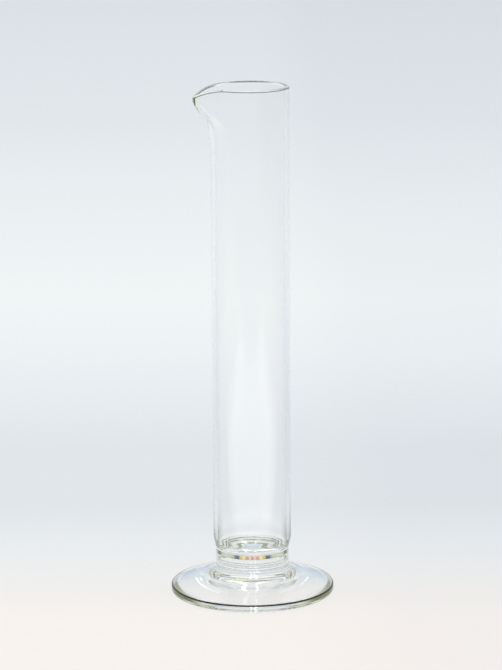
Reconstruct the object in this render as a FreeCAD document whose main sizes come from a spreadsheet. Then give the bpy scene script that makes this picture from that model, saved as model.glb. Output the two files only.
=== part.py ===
# Plain pouring cylinder (hydrometer jar) of clear glass on a fused round foot.
# Millimetres, +Z up. Origin: centre of the foot, on the surface it stands on.
# The spout points along -X.
import FreeCAD, Part
import math
import os
import re

import Sketcher
from FreeCAD import Vector

# name, value, what it is
SIZES = [
    ("rim_level", 328.0, "top of the rim above the table"),
    ("tube_radius", 25.0, "outside of the straight tube"),
    ("wall", 2.5, "thickness of the tube's wall"),
    ("rim_flat", 0.3, "flat left between the two rounded edges of the rim"),
    ("seam_level", 21.5, "fused joint between vessel and foot"),
    ("base_step", 1.6, "how much slimmer the solid base and the foot's neck are than the tube"),
    ("seam_round", 0.6, "softened edge on each side of the fused joint"),
    ("base_rise", 6.0, "straight side of the solid base"),
    ("shoulder_rise", 9.5, "double curve from the solid base to the tube"),
    ("floor_glass", 7.5, "glass under the inside floor"),
    ("floor_corner", 4.0, "rounded inside corner at the floor"),
    ("floor_crown", 0.8, "rise of the floor at its middle"),
    ("spout_depth", 40.0, "from the rim down to where the spout leaves the tube"),
    ("spout_brow", 9.5, "from the rim down to the level where the spout turns upright"),
    ("spout_reach", 11.6, "how far the spout stands out from the tube"),
    ("spout_nose", 3.6, "radius of the spout's tip, outside"),
    ("lip_start", 17.5, "distance from the axis where the lip begins to droop"),
    ("lip_droop", 6.0, "fall of the lip at the tip of the spout"),
    ("trim", 4.0, "glass above the rim that is cut away, and the cutter's overhang"),
    ("foot_radius", 52.5, "outside of the foot"),
    ("foot_edge", 5.2, "thickness of the foot at its edge"),
    ("edge_round", 1.6, "rounded corners of the foot's edge"),
    ("foot_slope", 6.5, "rise of the foot from its edge to the flare"),
    ("flare_radius", 9.0, "concave flare between foot and neck"),
    ("rest_width", 4.0, "width of the ring that the foot stands on"),
    ("dish_depth", 8.0, "hollow under the middle of the foot"),
]
# Outlines of the spout above its root: name, share of the height to the brow, share of the reach.
SPOUT_STEPS = [
    ("start", 0.13, 0.02),
    ("swell", 0.3, 0.05),
    ("rise", 0.46, 0.11),
    ("bend", 0.62, 0.28),
    ("throat", 0.8, 0.65),
    ("brow", 1.0, 0.95),
    ("lip", 1.18, 0.99),
]
# Where the spout's straight sides leave the tube's round, as a share of its radius.
TANGENT_SHARE = "(tube_radius - spout_nose) / (spout_reach + tube_radius - spout_nose)"
# At the root, two short arcs grow into the straight sides; this share of the way to the nose.
ROOT_SHARE = 0.1
# Radius of the fused joint, shared by the vessel's base and the foot's neck.
SEAM = "(tube_radius - base_step)"
# The lip's droop: how far out it runs, and the radius of the arc that it follows.
LIP_RUN = "(tube_radius + spout_reach - lip_start)"
LIP_ROUND = f"(({LIP_RUN} ^ 2 + lip_droop ^ 2) / (2 * lip_droop))"

START, END, CENTRE = range(1, 4)  # points of a sketch edge
ACROSS_AXIS, UP_AXIS = -START, -END  # a sketch's own two axes
ORIGIN = (ACROSS_AXIS, START)
TOUCH = 1e-3  # closest match that counts as the same place


def make_sheet(doc):
    """Write the driving dimensions into a sheet, one aliased cell each."""
    sheet = doc.addObject("Spreadsheet::Sheet", "Sizes")
    for row, (name, value, note) in enumerate(SIZES, start=1):
        sheet.set(f"A{row}", name)
        sheet.set(f"B{row}", str(value))
        sheet.setAlias(f"B{row}", name)
        sheet.set(f"C{row}", note)
    doc.recompute()
    return sheet


def sheet_text(formula):
    """Turn a formula in size names, such as 'wall + trim', into one that reads the sheet."""
    names = "|".join(name for name, _, _ in SIZES)
    return re.sub(rf"\b({names})\b", r"Sizes.\1", formula)


def size(sheet, formula):
    """Work a formula in size names out to a number."""
    return float(sheet.evalExpression(sheet_text(formula)))


def new_body(doc, name):
    body = doc.addObject("PartDesign::Body", name)
    body.Label = name
    return body


def new_sketch(body, name, role, level=None):
    """Sketch on one of the body's own planes, lifted to a level where one is given."""
    sketch = body.newObject("Sketcher::SketchObject", name)
    plane = next(item for item in body.Origin.OriginFeatures if item.Role == role)
    sketch.AttachmentSupport = (plane, [""])
    sketch.MapMode = "FlatFace"
    if level:
        sketch.setExpression("AttachmentOffset.Base.z", sheet_text(level))
    return sketch


def bind(sketch, sheet, kind, *target, formula):
    """Add a constraint whose size is tied to the sheet."""
    index = sketch.addConstraint(Sketcher.Constraint(kind, *target, size(sheet, formula)))
    sketch.setExpression(f"Constraints[{index}]", sheet_text(formula))


def place(sketch, sheet, edge, end, across, up):
    """Fix one end of an edge at (across, up), both given as formulas."""
    if across == "0":
        sketch.addConstraint(Sketcher.Constraint("PointOnObject", edge, end, UP_AXIS))
    else:
        bind(sketch, sheet, "DistanceX", *ORIGIN, edge, end, formula=across)
    if up == "0":
        sketch.addConstraint(Sketcher.Constraint("PointOnObject", edge, end, ACROSS_AXIS))
    else:
        bind(sketch, sheet, "DistanceY", *ORIGIN, edge, end, formula=up)


def draw_outline(sketch, sheet, corners, arcs=(), smooth=()):
    """Closed outline through corners, each a pair of formulas.

    arcs maps an edge to how far it bows to the left of its run, as a first guess that the
    constraints then settle. An edge in smooth flows into the next one without a corner.
    """
    points = [Vector(size(sheet, across), size(sheet, up), 0) for across, up in corners]
    arcs = dict(arcs)
    ends = []
    for edge, start in enumerate(points):
        stop = points[(edge + 1) % len(points)]
        if edge in arcs:
            run = stop - start
            side = Vector(-run.y, run.x, 0).normalize()
            bow = Part.Arc(start, (start + stop) * 0.5 + side * arcs[edge], stop)
            sketch.addGeometry(bow)
            # the sketch keeps every arc anticlockwise, so one that bows left runs backwards
            ends.append((END, START) if arcs[edge] > 0 else (START, END))
        else:
            sketch.addGeometry(Part.LineSegment(start, stop))
            ends.append((START, END))
    for edge, (across, up) in enumerate(corners):
        following = (edge + 1) % len(corners)
        kind = "Tangent" if edge in smooth else "Coincident"
        joint = (edge, ends[edge][1], following, ends[following][0])
        sketch.addConstraint(Sketcher.Constraint(kind, *joint))
        place(sketch, sheet, edge, ends[edge][0], across, up)


def centre_on_axis(sketch, edge):
    sketch.addConstraint(Sketcher.Constraint("PointOnObject", edge, CENTRE, UP_AXIS))


def revolve(body, sketch, name):
    turned = body.newObject("PartDesign::Revolution", name)
    turned.Profile = sketch
    turned.ReferenceAxis = (sketch, ["V_Axis"])
    turned.Angle = 360.0
    return turned


def round_edges(body, base, name, chosen, formula):
    """Fillet the edges that chosen accepts."""
    body.Document.recompute()
    edges = base.Shape.Edges
    names = [f"Edge{number}" for number, edge in enumerate(edges, start=1) if chosen(edge)]
    rounded = body.newObject("PartDesign::Fillet", name)
    rounded.Base = (base, names)
    rounded.setExpression("Radius", sheet_text(formula))
    return rounded


def ring_test(radius, level):
    """Accept a full circle about the upright axis with this radius, at this level."""
    def is_ring(edge):
        if edge.Degenerated or not isinstance(edge.Curve, Part.Circle):
            return False
        curve = edge.Curve
        return abs(curve.Radius - radius) < TOUCH and abs(curve.Center.z - level) < TOUCH
    return is_ring


def make_wall(body, sheet):
    """Solid base, floor and tube wall up to the spout's root, turned about the axis."""
    sketch = new_sketch(body, "wall_section", "XZ_Plane")
    shoulder = "seam_level + base_rise"
    floor = "seam_level + floor_glass"
    bore = "tube_radius - wall"
    root = "rim_level - spout_depth"
    corners = [
        ("0", "seam_level"),
        (SEAM, "seam_level"),
        (SEAM, shoulder),
        ("tube_radius - base_step / 2", shoulder + " + shoulder_rise / 2"),
        ("tube_radius", shoulder + " + shoulder_rise"),
        ("tube_radius", root),
        (bore, root),
        (bore, floor + " + floor_corner"),
        (bore + " - floor_corner", floor),
        ("0", floor + " + floor_crown"),
    ]
    arcs = {2: 0.1, 3: -0.1, 7: 1.0, 8: -0.1}
    draw_outline(sketch, sheet, corners, arcs, smooth={1, 3, 6})
    centre_on_axis(sketch, 8)
    return revolve(body, sketch, "wall_and_base")


def spout_outline(body, sheet, name, level, shell, share):
    """The tube's round drawn out to a nose: main arc, straight side, nose arc, straight side."""
    sketch = new_sketch(body, name, "XY_Plane", level)
    tube = f"tube_radius{shell}"
    nose = f"{tube} - (tube_radius - spout_nose) * {share}"
    shift = f"(spout_reach + tube_radius - spout_nose) * {share}"
    tube_size, nose_size, shift_size = (size(sheet, text) for text in (tube, nose, shift))
    swing = math.acos(size(sheet, TANGENT_SHARE))
    behind = math.pi - swing
    up = Vector(0, 0, 1)
    main = Part.ArcOfCircle(Part.Circle(Vector(), up, tube_size), -behind, behind)
    tip = Part.ArcOfCircle(Part.Circle(Vector(-shift_size, 0, 0), up, nose_size), behind, behind + 2 * swing)
    far_side = Part.LineSegment(main.EndPoint, tip.StartPoint)
    near_side = Part.LineSegment(tip.EndPoint, main.StartPoint)
    sketch.addGeometry([main, far_side, tip, near_side])
    sketch.addConstraint(Sketcher.Constraint("Coincident", 0, CENTRE, *ORIGIN))
    sketch.addConstraint(Sketcher.Constraint("PointOnObject", 2, CENTRE, ACROSS_AXIS))
    for edge in range(4):
        sketch.addConstraint(Sketcher.Constraint("Tangent", edge, END, (edge + 1) % 4, START))
    bind(sketch, sheet, "Radius", 0, formula=tube)
    bind(sketch, sheet, "Radius", 2, formula=nose)
    bind(sketch, sheet, "DistanceX", 2, CENTRE, *ORIGIN, formula=shift)
    return sketch


def root_outline(body, sheet, name, level, shell):
    """The tube's plain round, cut where the spout's four edges grow from it."""
    sketch = new_sketch(body, name, "XY_Plane", level)
    tube = f"tube_radius{shell}"
    side_cut = f"-({tube}) * {TANGENT_SHARE}"
    nose_cut = f"-({tube}) * ({TANGENT_SHARE} * {1 - ROOT_SHARE} + {ROOT_SHARE})"
    radius = size(sheet, tube)
    side_turn, nose_turn = (math.acos(size(sheet, cut) / radius) for cut in (side_cut, nose_cut))
    cuts = [-side_turn, side_turn, nose_turn, 2 * math.pi - nose_turn, 2 * math.pi - side_turn]
    circle = Part.Circle(Vector(), Vector(0, 0, 1), radius)
    sketch.addGeometry([Part.ArcOfCircle(circle, cuts[turn], cuts[turn + 1]) for turn in range(4)])
    for edge in range(4):
        sketch.addConstraint(Sketcher.Constraint("Coincident", edge, CENTRE, *ORIGIN))
    for edge in range(3):
        sketch.addConstraint(Sketcher.Constraint("Coincident", edge, END, edge + 1, START))
    for low, high in (((0, START), (0, END)), ((2, END), (2, START)), ((3, END), (1, START))):
        sketch.addConstraint(Sketcher.Constraint("Vertical", *low, *high))
    bind(sketch, sheet, "Radius", 0, formula=tube)
    bind(sketch, sheet, "DistanceX", *ORIGIN, 0, END, formula=side_cut)
    bind(sketch, sheet, "DistanceX", *ORIGIN, 2, START, formula=nose_cut)
    return sketch


def loft_spout(body, sheet, name, kind, shell):
    """Loft the tube's round up into the spout's outline; shell is '' outside, ' - wall' inside."""
    root = "rim_level - spout_depth"
    outlines = [root_outline(body, sheet, f"{name}_root", root, shell)]
    for step, height, share in SPOUT_STEPS:
        level = f"{root} + (spout_depth - spout_brow) * {height}"
        outlines.append(spout_outline(body, sheet, f"{name}_{step}", level, shell, share))
    outlines.append(spout_outline(body, sheet, f"{name}_top", "rim_level + trim", shell, 1.0))
    loft = body.newObject(kind, name)
    loft.Profile = outlines[0]
    loft.Sections = outlines[1:]
    return loft


def trim_lip(body, sheet):
    """Cut the top flat, and let the lip droop along an arc towards the spout's tip."""
    sketch = new_sketch(body, "lip_cutter", "XZ_Plane")
    back, front = "tube_radius + trim", "-(tube_radius + spout_reach + trim)"
    fallen = f"rim_level - {LIP_ROUND} + sqrt({LIP_ROUND} ^ 2 - ({LIP_RUN} + trim) ^ 2)"
    above = "rim_level + 2 * trim"
    corners = [
        (back, "rim_level"),
        ("-lip_start", "rim_level"),
        (front, fallen),
        (front, above),
        (back, above),
    ]
    draw_outline(sketch, sheet, corners, {1: -1.0}, smooth={0})
    cut = body.newObject("PartDesign::Pocket", "lip_trim")
    cut.Profile = sketch
    cut.Type = "ThroughAll"
    cut.SideType = "Symmetric"
    return cut


def lip_test(sheet):
    """Accept a curved edge that lies on the trimmed top of the rim and lip all along."""
    rim, start, radius = (size(sheet, text) for text in ("rim_level", "lip_start", LIP_ROUND))

    def on_lip(spot):
        beyond = max(0.0, -spot.x - start)
        return abs(spot.z - (rim - radius + math.sqrt(radius ** 2 - beyond ** 2))) < TOUCH

    def is_lip(edge):
        if edge.Degenerated or isinstance(edge.Curve, Part.Line):
            return False
        first, last = edge.ParameterRange
        return all(on_lip(edge.valueAt(first + (last - first) * part)) for part in (0.0, 0.3, 0.7, 1.0))
    return is_lip


def make_vessel(doc, sheet):
    """Tube with its solid base, the spout drawn from its wall and the fire-polished rim."""
    body = new_body(doc, "vessel")
    make_wall(body, sheet)
    loft_spout(body, sheet, "spout_outside", "PartDesign::AdditiveLoft", "")
    loft_spout(body, sheet, "spout_inside", "PartDesign::SubtractiveLoft", " - wall")
    trimmed = trim_lip(body, sheet)
    rim = round_edges(body, trimmed, "rim_polish", lip_test(sheet), "(wall - rim_flat) / 2")
    seam = ring_test(size(sheet, SEAM), size(sheet, "seam_level"))
    round_edges(body, rim, "base_edge", seam, "seam_round")
    return body


def make_foot(doc, sheet):
    """Pressed disc: resting ring, hollow underside, upright edge, flare and neck."""
    body = new_body(doc, "foot")
    sketch = new_sketch(body, "foot_section", "XZ_Plane")
    edge_start = "foot_radius - edge_round"
    flare_level = "foot_edge + foot_slope"
    corners = [
        ("0", "dish_depth"),
        (edge_start + " - rest_width", "0"),
        (edge_start, "0"),
        ("foot_radius", "edge_round"),
        ("foot_radius", "foot_edge - edge_round"),
        (edge_start, "foot_edge"),
        (f"{SEAM} + flare_radius", flare_level),
        (SEAM, flare_level + " + flare_radius"),
        (SEAM, "seam_level"),
        ("0", "seam_level"),
    ]
    arcs = {0: 0.1, 2: -0.5, 4: -0.5, 6: 2.0}
    draw_outline(sketch, sheet, corners, arcs, smooth={1, 3, 6})
    centre_on_axis(sketch, 0)
    disc = revolve(body, sketch, "disc_and_neck")
    seam = ring_test(size(sheet, SEAM), size(sheet, "seam_level"))
    round_edges(body, disc, "neck_edge", seam, "seam_round")
    return body


def check(doc):
    """Stop if any object failed or a sub-part isn't one valid solid."""
    for item in doc.Objects:
        if "Invalid" in item.State or "Error" in item.State:
            raise RuntimeError(f"{item.Name} did not build: {item.State}")
    for body in doc.findObjects("PartDesign::Body"):
        shape = body.Shape
        if shape.isNull() or not shape.isValid() or len(shape.Solids) != 1:
            raise RuntimeError(f"{body.Label} is not one valid solid")


def main():
    doc = FreeCAD.newDocument("pouring_cylinder")
    sheet = make_sheet(doc)
    bodies = [make_vessel(doc, sheet), make_foot(doc, sheet)]
    doc.recompute()
    check(doc)
    os.makedirs("parts", exist_ok=True)
    for body in bodies:
        body.Shape.exportStep(f"parts/{body.Label}.step")
        box = body.Shape.BoundBox
        print(body.Label, f"volume {body.Shape.Volume:.0f} mm3, {box.ZMin:.2f} to {box.ZMax:.2f} mm high,",
              f"X {box.XMin:.2f} to {box.XMax:.2f}")


main()
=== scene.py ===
# %% [markdown]
# # A plain pouring cylinder on a glass foot
# The object is two worked pieces of clear glass: a tall tube with a pulled spout and a thick closed
# bottom, and a pressed round foot fused under it. Clear glass has no colour of its own to paint, so the
# lesson is about three things: exact walls, a shader that bends light, and a room worth bending.

# %% Load the fixed frame
import math

import bpy
from mathutils import Euler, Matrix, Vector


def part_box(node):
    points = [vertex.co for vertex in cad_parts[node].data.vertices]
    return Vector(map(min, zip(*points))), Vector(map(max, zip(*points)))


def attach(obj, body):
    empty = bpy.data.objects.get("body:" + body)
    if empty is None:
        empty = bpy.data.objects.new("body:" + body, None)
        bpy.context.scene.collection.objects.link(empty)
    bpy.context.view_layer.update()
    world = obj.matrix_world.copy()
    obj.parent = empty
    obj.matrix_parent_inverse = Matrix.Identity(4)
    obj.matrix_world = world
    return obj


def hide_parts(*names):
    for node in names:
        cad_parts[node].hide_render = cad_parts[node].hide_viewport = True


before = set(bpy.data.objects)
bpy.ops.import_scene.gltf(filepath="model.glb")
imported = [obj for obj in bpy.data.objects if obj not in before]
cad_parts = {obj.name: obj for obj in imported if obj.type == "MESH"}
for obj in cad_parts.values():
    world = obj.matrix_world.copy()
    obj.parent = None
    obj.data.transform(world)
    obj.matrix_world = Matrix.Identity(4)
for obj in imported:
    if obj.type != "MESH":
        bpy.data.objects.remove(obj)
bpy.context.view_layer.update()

# %% [markdown]
# ## Camera
# A long lens stands almost two metres away and looks slightly down, so the tube hardly tapers and the
# rim and foot show as flat ellipses. The camera is placed by its distance, height and aim. The shift is
# left at zero, so any other view of the same camera stays centred.

# %% Camera
CAMERA_DISTANCE = 1.876
CAMERA_HEIGHT = 0.5815
LOOK_DOWN = math.radians(12.42)
VIEW_TURN = math.radians(-12.0)  # the camera stands a little to the spout's side
TILT = math.radians(-0.36)  # the jar leans a hair in the frame
LENS = 162.1
MOST_BOUNCES = 32  # light is guided a long way inside thick glass before it leaves

camera_data = bpy.data.cameras.new("camera")
camera_data.lens = LENS
camera_data.sensor_fit = "VERTICAL"
camera_data.sensor_height = 36.0
camera_data.sensor_width = 36.0
camera = bpy.data.objects.new("camera", camera_data)
bpy.context.scene.collection.objects.link(camera)
across = CAMERA_DISTANCE * math.sin(VIEW_TURN)
back = CAMERA_DISTANCE * math.cos(VIEW_TURN)
camera.location = (across, -back, CAMERA_HEIGHT)
aim = Euler((math.pi / 2 - LOOK_DOWN, 0.0, VIEW_TURN)).to_matrix()
roll = Euler((0.0, 0.0, TILT)).to_matrix()
camera.rotation_euler = (aim @ roll).to_euler()
bpy.context.scene.camera = camera
bpy.context.scene.view_settings.view_transform = "Standard"
for bounces in ("max_bounces", "glossy_bounces", "transmission_bounces", "transparent_max_bounces"):
    setattr(bpy.context.scene.cycles, bounces, MOST_BOUNCES)
print("camera at", [round(v, 3) for v in camera.location])

# %% [markdown]
# ## Sizes
# Height, radii and the level of the fused joint are read from the solid model, so the glass seen here is
# the glass that was designed. The finer sizes, such as the rounding of the rim, are named once.

# %% Sizes in metres
MM = 0.001
vessel_low, vessel_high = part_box("vessel")
foot_low, foot_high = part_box("foot")
RIM = vessel_high[2]
TUBE = vessel_high[0]
SEAM = vessel_low[2]
FOOT = foot_high[0]
WALL = 2.5 * MM
BASE = TUBE - 1.6 * MM
SEAM_ROUND = 0.6 * MM
BASE_TOP = SEAM + 6.0 * MM
SHOULDER_TOP = BASE_TOP + 9.5 * MM
FLOOR = SEAM + 7.5 * MM
FLOOR_CORNER = 4.0 * MM
FLOOR_CROWN = 0.8 * MM
SPOUT_ROOT = RIM - 40.0 * MM
RIM_ROUND = 1.1 * MM
COLUMNS = 240  # faces round the tube
FLOOR_RINGS = 16  # rings of the inner floor
DISH_RINGS = 24  # rings of the hollow under the foot
SLACK = 0.1 * MM  # how far a point may lie off the surface that it is counted to
TOUCH = 1e-6  # points closer than this are one point
print(f"rim {RIM:.4f}, tube radius {TUBE:.4f}, joint {SEAM:.4f}, foot radius {FOOT:.4f}")


# %% [markdown]
# ## Turning a section ring by ring
# Blown and pressed glass is round, so each piece is turned. A disc is added at the start of the section,
# and its face is then extruded and scaled from ring to ring: up the outside, over the rim and down the
# inside, until it closes in a point. A spin would do the same from a drawn section. Going ring by ring
# keeps the rings exactly where the section asks for them and the faces pointing outwards.

# %% Helpers that draw a section
def bend(centre, radius, start, end, steps):
    """Points of a round stretch in a section, as (radius, height); angles in degrees."""
    turns = [math.radians(start + (end - start) * step / steps) for step in range(steps + 1)]
    return [(centre[0] + radius * math.cos(t), centre[1] + radius * math.sin(t)) for t in turns]


def double_curve(low, high, steps):
    """Points of a soft step from one radius to another, upright at both ends."""
    points = []
    for step in range(steps + 1):
        share = step / steps
        ease = share * share * (3 - 2 * share)
        points.append((low[0] + (high[0] - low[0]) * ease, low[1] + (high[1] - low[1]) * share))
    return points


def straight(low, high, steps):
    """Evenly spaced points between two rings, without the first."""
    shares = [step / steps for step in range(1, steps + 1)]
    return [(low[0] + (high[0] - low[0]) * s, low[1] + (high[1] - low[1]) * s) for s in shares]


# %% Helper that turns a section
def turn(name, section, columns):
    """Extrude a disc along a section of (radius, height) rings and close it in its last point."""
    bpy.ops.object.select_all(action="DESELECT")
    radius, height = section[0]
    start = (0, 0, height)
    bpy.ops.mesh.primitive_circle_add(vertices=columns, radius=radius, fill_type="NGON", location=start)
    piece = bpy.context.object
    piece.name = piece.data.name = name
    bpy.ops.object.transform_apply(location=True, rotation=False, scale=False)
    bpy.ops.object.mode_set(mode="EDIT")
    bpy.ops.mesh.select_mode(type="FACE")
    bpy.ops.mesh.select_all(action="SELECT")
    for new_radius, new_height in section[1:]:
        rise = new_height - height
        bpy.ops.mesh.extrude_region_move(TRANSFORM_OT_translate={"value": (0, 0, rise)})
        scale = new_radius / radius
        bpy.ops.transform.resize(value=(scale, scale, 1.0), center_override=(0, 0, new_height))
        radius, height = new_radius, new_height
    bpy.ops.mesh.merge(type="CENTER")
    bpy.ops.mesh.select_all(action="SELECT")
    bpy.ops.mesh.remove_doubles(threshold=TOUCH)
    bpy.ops.mesh.normals_make_consistent(inside=False)
    bpy.ops.object.mode_set(mode="OBJECT")
    bpy.ops.object.shade_smooth()
    print(f"{name}: {len(section)} rings, {len(piece.data.polygons)} faces")
    return piece


# %% [markdown]
# ## The vessel, before its spout
# Its section starts on the fused joint, climbs the solid base and the soft shoulder to the tube, runs
# over the fire-polished rim and comes down inside to the thick floor, which is a little crowned. Rings
# lie close together only where the spout will be drawn out.

# %% Turn the vessel
SPOUT_RINGS = 34
RIM_STEPS = 5
inner = TUBE - WALL
round_top = RIM - RIM_ROUND
section = bend((BASE - SEAM_ROUND, SEAM + SEAM_ROUND), SEAM_ROUND, -90, 0, 4)
section += straight(section[-1], (BASE, BASE_TOP), 2)
section += double_curve((BASE, BASE_TOP), (TUBE, SHOULDER_TOP), 12)[1:]
section += straight((TUBE, SHOULDER_TOP), (TUBE, SPOUT_ROOT), 6)
section += straight((TUBE, SPOUT_ROOT), (TUBE, round_top), SPOUT_RINGS)
section += bend((TUBE - RIM_ROUND, round_top), RIM_ROUND, 0, 90, RIM_STEPS)[1:]
section += bend((inner + RIM_ROUND, round_top), RIM_ROUND, 90, 180, RIM_STEPS)
section += straight((inner, round_top), (inner, SPOUT_ROOT), SPOUT_RINGS)
section += straight((inner, SPOUT_ROOT), (inner, FLOOR + FLOOR_CORNER), 6)
section += bend((inner - FLOOR_CORNER, FLOOR + FLOOR_CORNER), FLOOR_CORNER, 0, -90, 8)[1:]
floor_edge = inner - FLOOR_CORNER
for step in range(1, FLOOR_RINGS):
    share = 1 - step / FLOOR_RINGS
    section.append((floor_edge * share, FLOOR + FLOOR_CROWN * (1 - share * share)))
vessel = turn("vessel_glass", section, COLUMNS)

# %% [markdown]
# ## Drawing out the spout
# A glassblower softens the rim and pulls it out with a rod: the wall slides out into a nose with two
# straight sides, and the lip droops. Here each ring near the rim does the same. A point that lies within
# the spout's angle moves to the same share of the length of a new outline, made of a straight side that
# leaves the tube without a corner and a round nose. Proportional editing can pull a spout too, but it
# thins the wall and gives no straight sides.

# %% Shape of the spout
SPOUT_REACH = 11.6 * MM
SPOUT_NOSE = 3.6 * MM
SPOUT_BROW = 9.5 * MM
LIP_START = 17.5 * MM
LIP_DROOP = 6.0 * MM
NOSE_SHIFT = SPOUT_REACH + TUBE - SPOUT_NOSE
SWING = math.acos((TUBE - SPOUT_NOSE) / NOSE_SHIFT)
LIP_RUN = TUBE + SPOUT_REACH - LIP_START
LIP_ROUND = (LIP_RUN ** 2 + LIP_DROOP ** 2) / (2 * LIP_DROOP)
SETTLE_ROUNDS = 5  # the lip's fall and the reach depend on each other, so they settle in turns
# the keel of the spout: share of the height from root to brow, and share of the reach there
KEEL = [
    (0.0, 0.0),
    (0.13, 0.02),
    (0.3, 0.05),
    (0.46, 0.11),
    (0.62, 0.28),
    (0.8, 0.65),
    (1.0, 0.95),
    (1.18, 0.99),
    (1.44, 1.0),
]


def keel_share(height):
    """How far the spout stands out at a height, along a smooth curve through the keel's points."""
    place = (height - SPOUT_ROOT) / (RIM - SPOUT_BROW - SPOUT_ROOT)
    if place <= 0.0:
        return 0.0
    if place >= KEEL[-1][0]:
        return 1.0
    index = max(i for i, (at, _) in enumerate(KEEL) if at <= place)
    (x0, y0), (x1, y1) = KEEL[index], KEEL[index + 1]
    before = KEEL[max(index - 1, 0)]
    after = KEEL[min(index + 2, len(KEEL) - 1)]
    slope0 = (y1 - before[1]) / (x1 - before[0]) if index else 0.0
    slope1 = (after[1] - y0) / (after[0] - x0)
    width = x1 - x0
    s = (place - x0) / width
    return (y0 * (1 + 2 * s) * (1 - s) ** 2 + slope0 * width * s * (1 - s) ** 2
            + y1 * s * s * (3 - 2 * s) - slope1 * width * s * s * (1 - s))


def outline_point(part, share, inset):
    """Point of the spout's outline: part runs from 0 at the nose's middle to 1 where the side begins."""
    shift = NOSE_SHIFT * share
    nose = TUBE - (TUBE - SPOUT_NOSE) * share - inset
    side = shift * math.sin(SWING)
    along = part * (nose * SWING + side)
    if along <= nose * SWING:
        turn_by = along / nose
        return -shift - nose * math.cos(turn_by), nose * math.sin(turn_by)
    left = along - nose * SWING
    x = -shift - nose * math.cos(SWING) + left * math.sin(SWING)
    return x, nose * math.sin(SWING) + left * math.cos(SWING)


def lip_level(x):
    """Height of the trimmed lip at a distance out along the spout."""
    beyond = max(0.0, -x - LIP_START)
    return RIM - LIP_ROUND + math.sqrt(LIP_ROUND ** 2 - beyond ** 2)


# %% Pull every ring's points out to the spout
moved = 0
for vertex in vessel.data.vertices:
    x, y, z = vertex.co
    radius = math.hypot(x, y)
    angle = math.atan2(abs(y), -x)
    if z <= SPOUT_ROOT or radius < inner - SLACK or angle >= SWING:
        continue
    inset = TUBE - radius
    part = angle / SWING
    level = z
    for _ in range(SETTLE_ROUNDS):
        top = lip_level(outline_point(part, keel_share(level), inset)[0])
        level = SPOUT_ROOT + (z - SPOUT_ROOT) * (top - SPOUT_ROOT) / (RIM - SPOUT_ROOT)
    new_x, new_y = outline_point(part, keel_share(level), inset)
    vertex.co = (new_x, math.copysign(new_y, y), level)
    moved += 1
vessel.data.update()
print(f"spout: {moved} points moved, tip at x = {min(v.co.x for v in vessel.data.vertices):.4f}")

# %% [markdown]
# ## The foot
# A pressed glass foot is a disc with a fat rounded edge. It stands on a narrow ring, is hollowed
# underneath, and flares up into the neck that the tube is fused to. It is turned the same way, from the
# joint down the flare, round the edge and in under the foot to the middle of its underside.

# %% Turn the foot
FOOT_EDGE = 5.2 * MM
EDGE_ROUND = 1.6 * MM
FOOT_SLOPE = 6.5 * MM
FLARE = 9.0 * MM
REST_WIDTH = 4.0 * MM
DISH = 8.0 * MM
edge_in = FOOT - EDGE_ROUND
rest_in = edge_in - REST_WIDTH
disc_top = FOOT_EDGE + FOOT_SLOPE
neck = BASE - SEAM_ROUND
OVERLAP = 0.05 * MM  # the two discs of the joint never lie in one plane
# start on the joint: down the neck and the flare, round the edge, and in under the foot
section = [(neck - OVERLAP, SEAM + OVERLAP)]
section += bend((neck, SEAM - SEAM_ROUND), SEAM_ROUND, 90, 0, 4)
section += straight(section[-1], (BASE, disc_top + FLARE), 2)
section += bend((BASE + FLARE, disc_top + FLARE), FLARE, 180, 270, 14)[1:]
section += straight((BASE + FLARE, disc_top), (edge_in, FOOT_EDGE), 14)
section += bend((edge_in, FOOT_EDGE - EDGE_ROUND), EDGE_ROUND, 90, 0, 10)[1:]
section += straight((FOOT, FOOT_EDGE - EDGE_ROUND), (FOOT, EDGE_ROUND), 2)
section += bend((edge_in, EDGE_ROUND), EDGE_ROUND, 0, -90, 10)[1:]
section += straight((edge_in, 0.0), (rest_in, 0.0), 3)
for step in range(1, DISH_RINGS):
    share = 1 - step / DISH_RINGS
    section.append((rest_in * share, DISH * (1 - share * share)))
foot = turn("foot_glass", section, COLUMNS)

# %% [markdown]
# ## The fused joint
# Both pieces stay closed, but where they are fused there is no surface for light to meet. The two discs
# of the joint therefore get a clear, unbending finish of their own, and the crease round them stays
# glass: it is what shows that the jar was made in two pieces.

# %% Joint finish
joint = bpy.data.materials.new("fused_joint")
joint.use_nodes = True
joint.node_tree.nodes.clear()
joint_out = joint.node_tree.nodes.new("ShaderNodeOutputMaterial")
joint_clear = joint.node_tree.nodes.new("ShaderNodeBsdfTransparent")
joint_clear.inputs["Color"].default_value = (1.0, 1.0, 1.0, 1.0)
joint.node_tree.links.new(joint_clear.outputs["BSDF"], joint_out.inputs["Surface"])


# %% [markdown]
# ## Joining shader nodes
# A finish is a graph of nodes, and most of the graph repeats: a sum, a blend of two colours, a colour that
# changes along a value. Each gets a short helper, so that a finish reads as a list of what it does. A
# colour ramp is stored in 256 steps. That is too coarse for a line half a millimetre thick on a tall tube,
# so every thin line later gets a ramp of its own over a narrow range.

# %% Helpers for numbers
def maths(nodes, links, operation, first, second=0.0):
    """One maths node; each input is a socket or a number."""
    node = nodes.new("ShaderNodeMath")
    node.operation = operation
    for socket, source in zip(node.inputs, (first, second)):
        if isinstance(source, (int, float)):
            socket.default_value = source
        else:
            links.new(source, socket)
    return node.outputs["Value"]


def within(nodes, links, value, low, high):
    """1 where a value lies between two numbers, else 0."""
    result = maths(nodes, links, "COMPARE", value, (low + high) / 2)
    result.node.inputs[2].default_value = (high - low) / 2
    return result


def climb(nodes, links, value, start, full):
    """0 up to one number, 1 from another, and an even climb between them."""
    node = nodes.new("ShaderNodeMapRange")
    node.inputs["From Min"].default_value = start
    node.inputs["From Max"].default_value = full
    links.new(value, node.inputs["Value"])
    return node.outputs["Result"]


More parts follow.
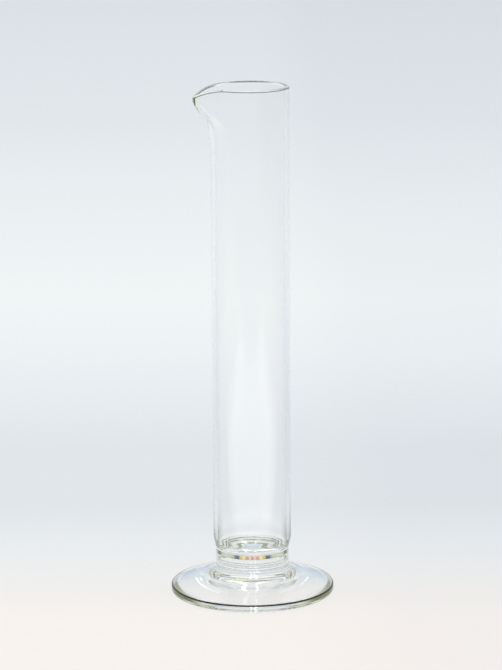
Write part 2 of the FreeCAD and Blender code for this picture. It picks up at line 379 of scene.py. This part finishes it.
def from_axis(nodes, links, place):
    """Distance from the jar's axis."""
    squares = [maths(nodes, links, "MULTIPLY", place[axis], place[axis]) for axis in ("X", "Y")]
    return maths(nodes, links, "SQRT", maths(nodes, links, "ADD", *squares))


# %% Helpers for colours
def graded(nodes, links, value, stops):
    """Colour that changes along a value, from a list of (value, linear colour)."""
    low, high = stops[0][0], stops[-1][0]
    ramp = nodes.new("ShaderNodeValToRGB")
    ends = ramp.color_ramp.elements
    ends[0].color, ends[1].color = (*stops[0][1], 1.0), (*stops[-1][1], 1.0)
    for stop, colour in stops[1:-1]:
        ends.new((stop - low) / (high - low)).color = (*colour, 1.0)
    links.new(climb(nodes, links, value, low, high), ramp.inputs["Fac"])
    return ramp.outputs["Color"]


def blend(nodes, links, kind, factor, first, second):
    """Two colours blended; each input is a socket or a fixed value."""
    node = nodes.new("ShaderNodeMix")
    node.data_type = "RGBA"
    node.blend_type = kind
    for index, source in ((0, factor), (6, first), (7, second)):
        if isinstance(source, float):
            node.inputs[index].default_value = source
        elif isinstance(source, tuple):
            node.inputs[index].default_value = (*source, 1.0)
        else:
            links.new(source, node.inputs[index])
    return node.outputs[2]


# %% [markdown]
# ## Clear glass
# One shader bends all the light: full transmission and the index of the glass. Drawn tube is never
# perfectly even: the pull leaves faint streaks along it, and the flame leaves soft waves. A stretched
# noise makes the streaks and a round one the waves, both as a very small bump. Pressed glass shows the
# mould's slow ripples instead, so the foot gets its own scale.

# %% Helper that starts a glass
def clear_glass(name, tint, index, unevenness):
    """Clear glass that bends light; unevenness lists (scale of the noise, height of the bump)."""
    material = bpy.data.materials.new(name)
    material.use_nodes = True
    nodes, links = material.node_tree.nodes, material.node_tree.links
    shader = nodes["Principled BSDF"]
    shader.inputs["Base Color"].default_value = (*tint, 1.0)
    shader.inputs["Transmission Weight"].default_value = 1.0
    shader.inputs["Roughness"].default_value = 0.0
    shader.inputs["IOR"].default_value = index
    spot = nodes.new("ShaderNodeTexCoord").outputs["Object"]
    normal = None
    for scale, height in unevenness:
        stretch = nodes.new("ShaderNodeMapping")
        stretch.inputs["Scale"].default_value = scale
        noise = nodes.new("ShaderNodeTexNoise")
        noise.inputs["Scale"].default_value = 1.0
        noise.inputs["Detail"].default_value = 0.0
        bump = nodes.new("ShaderNodeBump")
        bump.inputs["Distance"].default_value = height
        links.new(spot, stretch.inputs["Vector"])
        links.new(stretch.outputs["Vector"], noise.inputs["Vector"])
        links.new(noise.outputs["Fac"], bump.inputs["Height"])
        if normal:
            links.new(normal, bump.inputs["Normal"])
        normal = bump.outputs["Normal"]
    links.new(normal, shader.inputs["Normal"])
    apart = nodes.new("ShaderNodeSeparateXYZ")
    links.new(spot, apart.inputs["Vector"])
    print(f"{name}: index {index}")
    return material, nodes, links, apart.outputs


# %% [markdown]
# ## Light that is guided inside
# Thick glass guides light as a fibre does, and the light loses colour on its long way. The dark and olive
# edges of a clear jar come from that. Following such light to its end would take far more turns than a
# picture can wait for, so the shader counts them: past the fifth, light goes straight out with a painted
# shade, graded by the place where it leaves. A surface that is seen at a flat angle gets a painted shade
# too, for the same reason. Light on its way to a shadow goes straight through as well, because bent light
# would leave clear glass a black shadow.

# %% Helpers that tint a glass and paint its shade
TURNS_INSIDE = 5
GRAZING_FROM = 0.45
GRAZING_FULL = 0.80
EVEN = 0.5  # Layer Weight's setting at which Facing follows the angle plainly
SHADE = (0.97, 0.975, 0.98)
CLEAR = (1.0, 1.0, 1.0)
BLACK = (0.0, 0.0, 0.0)


def skin_of(nodes, links, measure, tint, grazing_shade):
    """The tint seen square on, and painted shade along a measure where light grazes the surface."""
    slant = nodes.new("ShaderNodeLayerWeight")
    slant.inputs["Blend"].default_value = EVEN
    grazing = climb(nodes, links, slant.outputs["Facing"], GRAZING_FROM, GRAZING_FULL)
    return blend(nodes, links, "MIX", grazing, tint, graded(nodes, links, measure, grazing_shade))


def let_out(nodes, links, skin, deep_shade):
    """Finish a glass: light is tinted by its skin, painted shade and glints included, and leaves with a
    painted shade after many turns inside.
    """
    shader = nodes["Principled BSDF"]
    links.new(skin, shader.inputs["Base Color"])
    path = nodes.new("ShaderNodeLightPath").outputs
    # past the fifth turn, light leaves straight out, coloured by the painted shade
    deep = maths(nodes, links, "GREATER_THAN", path["Ray Depth"], TURNS_INSIDE)
    to_shade = maths(nodes, links, "MAXIMUM", path["Is Shadow Ray"], path["Is Diffuse Ray"])
    through = nodes.new("ShaderNodeBsdfTransparent")
    links.new(blend(nodes, links, "MIX", to_shade, deep_shade, SHADE), through.inputs["Color"])
    choose = nodes.new("ShaderNodeMixShader")
    links.new(maths(nodes, links, "MAXIMUM", deep, to_shade), choose.inputs["Fac"])
    links.new(shader.outputs["BSDF"], choose.inputs[1])
    links.new(through.outputs["BSDF"], choose.inputs[2])
    links.new(choose.outputs["Shader"], nodes["Material Output"].inputs["Surface"])


# %% [markdown]
# ## Painted shade and glints of the tube
# They run with height, in metres. The lip droops at the spout, so its fall is added back first, and the
# rim is one level all round. Thin lines of painted shade mark the crease of the joint and the rounded rim,
# on the outside only. The spout and its nose get a painted straw glint, for warm light bent through the
# tip.

# %% Painted shade and glints of the tube
TUBE_TINT = (0.995, 0.998, 0.997)
TUBE_INDEX = 1.473
STREAKS = ((300.0, 300.0, 3.0), 0.0015 * MM)
WAVES = ((60.0, 60.0, 60.0), 0.001 * MM)
GREY = (0.30, 0.32, 0.34)
DARK = (0.05, 0.06, 0.06)
SHOULDER_DARK = (0.06, 0.09, 0.07)
# painted shade, by height, on light that leaves after many turns
TUBE_DEEP_SHADE = [
    (0.0215, (0.60, 0.66, 0.60)),
    (0.0300, (0.40, 0.46, 0.48)),
    (0.0360, (0.10, 0.13, 0.12)),
    (0.0480, (0.45, 0.50, 0.52)),
    (0.0700, (0.80, 0.84, 0.84)),
    (0.3100, (0.85, 0.86, 0.85)),
    (0.3170, (0.45, 0.46, 0.48)),
    (0.3300, (0.22, 0.23, 0.25)),
]
# painted shade where the tube is seen at a flat angle, darkest at the shoulder
TUBE_GRAZING_SHADE = [
    (0.0215, (0.70, 0.75, 0.68)),
    (0.0285, (0.60, 0.66, 0.60)),
    (0.0303, (0.92, 0.94, 0.94)),
    (0.0315, SHOULDER_DARK),
    (0.0390, SHOULDER_DARK),
    (0.0440, (0.60, 0.65, 0.62)),
    (0.0600, (0.92, 0.94, 0.94)),
]
# thin rings of painted shade at the crease of the joint
SEAM_SHADE_LINES = [
    (0.0210, GREY),
    (0.0221, GREY),
    (0.0223, CLEAR),
    (0.0230, CLEAR),
    (0.0231, GREY),
    (0.0235, GREY),
    (0.0236, CLEAR),
]
# a thin ring of painted shade on the rounded rim
RIM_SHADE_LINE = [
    (0.3266, CLEAR),
    (0.32675, DARK),
    (0.3272, DARK),
    (0.32735, CLEAR),
]
# painted straw glint on light let out at the spout, and a painted warm glint on the nose
SPOUT_GLINT_TONE = (0.85, 0.82, 0.66)
SPOUT_GLINT_FROM = -17.0 * MM
SPOUT_GLINT_FULL = -23.0 * MM
NOSE_GLINT = (0.97, 0.95, 0.78)
NOSE_GLINT_FROM = -31.0 * MM
NOSE_GLINT_FULL = -35.5 * MM


def tube_level(nodes, links, place):
    """Height with the lip's fall added back, so that the rim is at one level all round."""
    out = maths(nodes, links, "MAXIMUM", maths(nodes, links, "SUBTRACT", -LIP_START, place["X"]), 0.0)
    square = maths(nodes, links, "MULTIPLY", out, out)
    left = maths(nodes, links, "SQRT", maths(nodes, links, "SUBTRACT", LIP_ROUND ** 2, square))
    return maths(nodes, links, "ADD", place["Z"], maths(nodes, links, "SUBTRACT", LIP_ROUND, left))


# %% [markdown]
# ## Painted glints in the thick bottom
# The solid base works as a prism: it splits light into a row of coloured spots along a narrow ring. A true
# spectrum would need a separate ray for each colour, so painted glints stand in for it, with painted dark
# gaps between them. The row follows the bearing round the axis and repeats in four equal parts, so the jar
# looks alike from four sides. Only light that enters the glass gets the painted glints, or the far side's
# ring would show again through the near side.

# %% Ring of painted glints
# painted glints with painted dark gaps; stops run along a cosine, from -1 midway between two bright spots
# to 1 at the middle of a spot
GLINTS = [
    (-1.00, (0.60, 0.62, 0.40)),
    (-0.62, (0.45, 0.42, 0.10)),
    (-0.38, (0.03, 0.05, 0.08)),
    (0.05, (0.02, 0.04, 0.07)),
    (0.18, (0.65, 0.38, 0.03)),
    (0.44, (0.83, 0.50, 0.04)),
    (0.58, CLEAR),
    (0.72, (0.82, 0.38, 0.08)),
    (0.89, (0.65, 0.14, 0.03)),
    (0.975, (0.90, 0.70, 0.50)),
    (1.00, (0.65, 0.14, 0.04)),
]
GLINT_REPEATS = 4
GLINT_PHASE = math.radians(48.0)  # spots at bearings of -102, -12, 78 and 168 degrees
GLINT_LOW = 26.2 * MM
GLINT_HIGH = 28.6 * MM


def ring_of_painted_glints(nodes, links, place, skin):
    """Skin with the painted ring of glints multiplied in, on light that enters the glass."""
    bearing = maths(nodes, links, "ARCTAN2", place["Y"], place["X"])
    bearing = maths(nodes, links, "MULTIPLY", bearing, GLINT_REPEATS)
    swell = maths(nodes, links, "COSINE", maths(nodes, links, "ADD", bearing, GLINT_PHASE))
    leaves = nodes.new("ShaderNodeNewGeometry").outputs["Backfacing"]
    enters = maths(nodes, links, "SUBTRACT", 1.0, leaves)
    ring = within(nodes, links, place["Z"], GLINT_LOW, GLINT_HIGH)
    here = maths(nodes, links, "MULTIPLY", ring, enters)
    return blend(nodes, links, "MULTIPLY", here, skin, graded(nodes, links, swell, GLINTS))


# %% Glass of the tube
tube_glass, nodes, links, place = clear_glass("tube_glass", TUBE_TINT, TUBE_INDEX, (STREAKS, WAVES))
level = tube_level(nodes, links, place)
# painted straw glint towards the spout, mixed into the painted shade of light let out
at_spout_glint = climb(nodes, links, place["X"], SPOUT_GLINT_FROM, SPOUT_GLINT_FULL)
# painted shade by height on light let out after many turns
deep_shade = blend(nodes, links, "MIX", at_spout_glint, graded(nodes, links, level, TUBE_DEEP_SHADE), SPOUT_GLINT_TONE)
# painted shade where the surface is seen at a flat angle
skin = skin_of(nodes, links, level, TUBE_TINT, TUBE_GRAZING_SHADE)
outside = maths(nodes, links, "GREATER_THAN", from_axis(nodes, links, place), BASE - SLACK)
# rings of painted shade at the crease and the rim, on the outside
for stops in (SEAM_SHADE_LINES, RIM_SHADE_LINE):
    skin = blend(nodes, links, "MULTIPLY", outside, skin, graded(nodes, links, level, stops))
# painted ring of glints and dark gaps in the thick bottom
skin = ring_of_painted_glints(nodes, links, place, skin)
# painted warm glint on the nose
at_nose_glint = climb(nodes, links, place["X"], NOSE_GLINT_FROM, NOSE_GLINT_FULL)
skin = blend(nodes, links, "MULTIPLY", at_nose_glint, skin, NOSE_GLINT)
let_out(nodes, links, skin, deep_shade)
print(f"tube_glass: {len(nodes)} nodes")

# %% [markdown]
# ## Glass of the foot
# Its painted shade runs with the distance from the axis instead, in metres. The disc guides light
# outwards, so only the rounded edge turns olive, partly from the glass's own green over a long path and
# partly from painted shade, and a thin black line of painted shade runs round the top of that edge.

# %% Glass of the foot
FOOT_TINT = (0.99, 0.996, 0.994)
FOOT_INDEX = 1.5
RIPPLES = ((60.0, 60.0, 60.0), 0.01 * MM)
DIMPLES = ((120.0, 120.0, 120.0), 0.01 * MM)
# painted shade by distance from the axis on light let out after many turns, olive and dark at the edge
FOOT_DEEP_SHADE = [
    (0.000, (0.92, 0.94, 0.94)),
    (0.030, (0.85, 0.87, 0.84)),
    (0.040, (0.40, 0.43, 0.28)),
    (0.0500, (0.22, 0.25, 0.11)),
    (0.0525, (0.30, 0.33, 0.05)),
]
# painted shade where the foot is seen at a flat angle, olive at the edge
FOOT_GRAZING_SHADE = [
    (0.000, CLEAR),
    (0.046, (0.97, 0.98, 0.99)),
    (0.0505, (0.60, 0.64, 0.60)),
    (0.0525, (0.20, 0.22, 0.10)),
]
EDGE_FACE = (0.93, 0.94, 0.85)
# a thin black ring of painted shade round the top of the edge, then the edge's olive face
EDGE_SHADE_LINE = [
    (0.0510, CLEAR),
    (0.0517, CLEAR),
    (0.0519, BLACK),
    (0.05243, BLACK),
    (0.05248, EDGE_FACE),
    (0.0525, EDGE_FACE),
]
EDGE_SHADE_LINE_ABOVE = 3.2 * MM
foot_glass, nodes, links, place = clear_glass("foot_glass", FOOT_TINT, FOOT_INDEX, (RIPPLES, DIMPLES))
reach = from_axis(nodes, links, place)
upper = maths(nodes, links, "GREATER_THAN", place["Z"], EDGE_SHADE_LINE_ABOVE)
# painted shade where the foot is seen at a flat angle
skin = skin_of(nodes, links, reach, FOOT_TINT, FOOT_GRAZING_SHADE)
# the black ring of painted shade, on the upper side only
skin = blend(nodes, links, "MULTIPLY", upper, skin, graded(nodes, links, reach, EDGE_SHADE_LINE))
# painted shade on light let out after many turns
let_out(nodes, links, skin, graded(nodes, links, reach, FOOT_DEEP_SHADE))
print(f"foot_glass: {len(nodes)} nodes")


# %% Give the pieces their finishes
def dress(piece, material):
    """Glass all over, and the clear finish on the disc of the joint."""
    piece.data.materials.append(material)
    piece.data.materials.append(joint)
    rims = {vertex.index for vertex in piece.data.vertices
            if abs(vertex.co.z - SEAM) <= OVERLAP + TOUCH and vertex.co.xy.length < neck + TOUCH}
    discs = [face for face in piece.data.polygons if rims.issuperset(face.vertices)]
    for face in discs:
        face.material_index = 1
    print(f"{piece.name}: {len(discs)} joint face(s)")


dress(vessel, tube_glass)
dress(foot, foot_glass)
for piece, node, slot in ((vessel, "vessel", "tube_glass"), (foot, "foot", "foot_glass")):
    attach(piece, "root")
    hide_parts(node)

# %% [markdown]
# ## Floor
# A sheet of pale paper runs far behind the jar, so it fills the whole picture. Its colour changes slowly
# with the distance along the view, warm and bright in front and cooler behind, and it is a little dimmer
# on the right, as one large window lights it: this fall of light is painted into the paper's colour. Clear
# glass shows that window as a milky patch low on its side. A glow of the paper in front of the jar stands
# in for it. Only mirrored light sees the glow: light through the glass passes an even number of surfaces,
# so an odd count means that it was mirrored once.

# %% Colours of the floor
FLOOR_SIZE = 40.0
FLOOR_LEVEL = -0.2 * MM  # a hair under the foot, so glass and paper never share a plane
# distance behind the jar in metres, and the paper's colour with the painted fall of light there (display
# values)
PAPER_AND_LIGHT = [
    (-0.85, (233, 237, 240)),
    (-0.62, (248, 243, 239)),
    (-0.065, (248, 243, 239)),
    (0.019, (240, 240, 239)),
    (0.113, (233, 237, 240)),
    (0.20, (225, 230, 234)),
    (0.36, (224, 230, 234)),
    (0.52, (231, 236, 240)),
    (0.70, (237, 242, 245)),
    (0.92, (240, 245, 246)),
    (1.47, (234, 239, 242)),
    (2.10, (226, 231, 236)),
    (3.50, (220, 225, 231)),
]
# distance to the right in metres, and the painted share of light left there
RIGHT_SHADE = [
    (0.02, CLEAR),
    (0.06, (0.985, 0.983, 0.987)),
    (0.10, (0.963, 0.965, 0.973)),
    (0.20, (0.955, 0.960, 0.968)),
    (0.45, (0.960, 0.960, 0.965)),
]
# the glow that stands in for the window, by the same distance as the paper's colour
WINDOW_LIGHT = [
    (-0.90, BLACK),
    (-0.74, BLACK),
    (-0.67, (0.40, 0.42, 0.45)),
    (-0.50, (0.72, 0.74, 0.77)),
    (-0.35, (0.88, 0.90, 0.93)),
    (-0.12, (0.84, 0.86, 0.89)),
    (-0.08, BLACK),
    (0.0, BLACK),
]
WINDOW_HALF = 0.38  # it is full up to here on either side
WINDOW_FADE = 0.22  # and fades over this much more


def display(colour):
    """Display values from 0 to 255 as the linear values that a shader reads."""
    parts = [value / 255 for value in colour]
    return tuple(v / 12.92 if v <= 0.04045 else ((v + 0.055) / 1.055) ** 2.4 for v in parts)


def turned_to_view(nodes, links, source):
    """A place or direction as its parts across, along and above the view's direction."""
    turned = nodes.new("ShaderNodeMapping")
    turned.inputs["Rotation"].default_value = (0.0, 0.0, -VIEW_TURN)
    apart = nodes.new("ShaderNodeSeparateXYZ")
    links.new(source, turned.inputs["Vector"])
    links.new(turned.outputs["Vector"], apart.inputs["Vector"])
    return apart.outputs


# %% Sheet of paper
bpy.ops.mesh.primitive_plane_add(size=FLOOR_SIZE, location=(0, 0, FLOOR_LEVEL))
floor = bpy.context.object
floor.name = "floor"
paper = bpy.data.materials.new("paper")
paper.use_nodes = True
floor.data.materials.append(paper)
nodes, links = paper.node_tree.nodes, paper.node_tree.links
shader = nodes["Principled BSDF"]
shader.inputs["Roughness"].default_value = 1.0
shader.inputs["Specular IOR Level"].default_value = 0.0
place = turned_to_view(nodes, links, nodes.new("ShaderNodeTexCoord").outputs["Object"])
paper_and_light = graded(nodes, links, place["Y"], [(distance, display(colour)) for distance, colour in PAPER_AND_LIGHT])
# painted shade to the right
right_shade = graded(nodes, links, place["X"], RIGHT_SHADE)
links.new(blend(nodes, links, "MULTIPLY", 1.0, paper_and_light, right_shade), shader.inputs["Base Color"])
print(f"floor: {FLOOR_SIZE:.0f} m of paper")

# %% Glow that only mirrored light sees
path = nodes.new("ShaderNodeLightPath").outputs
in_glass = maths(nodes, links, "MAXIMUM", path["Is Glossy Ray"], path["Is Transmission Ray"])
mirrored = maths(nodes, links, "MODULO", path["Ray Depth"], 2.0)
aside = maths(nodes, links, "ABSOLUTE", place["X"])
inside = climb(nodes, links, aside, WINDOW_HALF + WINDOW_FADE, WINDOW_HALF)
glow = nodes.new("ShaderNodeEmission")
links.new(graded(nodes, links, place["Y"], WINDOW_LIGHT), glow.inputs["Color"])
strength = maths(nodes, links, "MULTIPLY", maths(nodes, links, "MULTIPLY", in_glass, mirrored), inside)
links.new(strength, glow.inputs["Strength"])
both = nodes.new("ShaderNodeAddShader")
links.new(shader.outputs["BSDF"], both.inputs[0])
links.new(glow.outputs["Emission"], both.inputs[1])
links.new(both.outputs["Shader"], nodes["Material Output"].inputs["Surface"])
print(f"glow: {2 * WINDOW_HALF:.2f} m wide")

# %% [markdown]
# ## Light
# Everything pale comes from a plain white sky, which lights the paper at about the level at which its
# colour is written. The camera and the glass see a room instead: dim and bluish near the horizon, because
# clear glass only shows its edges where some part of the room is darker than the rest, and bright
# overhead. Two narrow lamps run along the ceiling and draw the upright highlights.

# %% Sky and room
# height of a direction as its sine, and the room's brightness there (linear)
ROOM = [
    (0.0, (0.45, 0.50, 0.55)),
    (0.09, (0.50, 0.57, 0.66)),
    (0.15, (0.55, 0.64, 0.74)),
    (0.27, (0.68, 0.74, 0.80)),
    (0.42, (0.80, 0.80, 0.79)),
    (0.59, (0.88, 0.86, 0.84)),
    (0.76, (0.92, 0.92, 0.90)),
    (0.90, (1.20, 1.18, 1.14)),
    (1.0, (1.20, 1.18, 1.14)),
]
# sideways place for a height of one, half the width there, brightness
LAMPS = [(-0.075, 0.02, 3.0), (0.036, 0.008, 3.0)]
LAMPS_FROM = 0.3  # the lamps end at this height of a direction

world = bpy.data.worlds.new("room")
bpy.context.scene.world = world
world.use_nodes = True
nodes, links = world.node_tree.nodes, world.node_tree.links
nodes.clear()
way = turned_to_view(nodes, links, nodes.new("ShaderNodeTexCoord").outputs["Generated"])
seen = graded(nodes, links, way["Z"], ROOM)
sideways = maths(nodes, links, "DIVIDE", way["X"], way["Z"])
overhead = maths(nodes, links, "GREATER_THAN", way["Z"], LAMPS_FROM)
for centre, half, brightness in LAMPS:
    lamp = within(nodes, links, sideways, centre - half, centre + half)
    lamp = maths(nodes, links, "MULTIPLY", lamp, overhead)
    seen = blend(nodes, links, "MIX", lamp, seen, (brightness, brightness, brightness))
print(f"room: {len(ROOM)} levels, {len(LAMPS)} lamps")

# %% Who sees the sky and who sees the room
sky = nodes.new("ShaderNodeBackground")
sky.inputs["Color"].default_value = (*CLEAR, 1.0)
room = nodes.new("ShaderNodeBackground")
links.new(seen, room.inputs["Color"])
path = nodes.new("ShaderNodeLightPath").outputs
in_glass = maths(nodes, links, "MAXIMUM", path["Is Glossy Ray"], path["Is Transmission Ray"])
mix = nodes.new("ShaderNodeMixShader")
links.new(maths(nodes, links, "MAXIMUM", in_glass, path["Is Camera Ray"]), mix.inputs["Fac"])
links.new(sky.outputs["Background"], mix.inputs[1])
links.new(room.outputs["Background"], mix.inputs[2])
links.new(mix.outputs["Shader"], nodes.new("ShaderNodeOutputWorld").inputs["Surface"])
print("room ready")
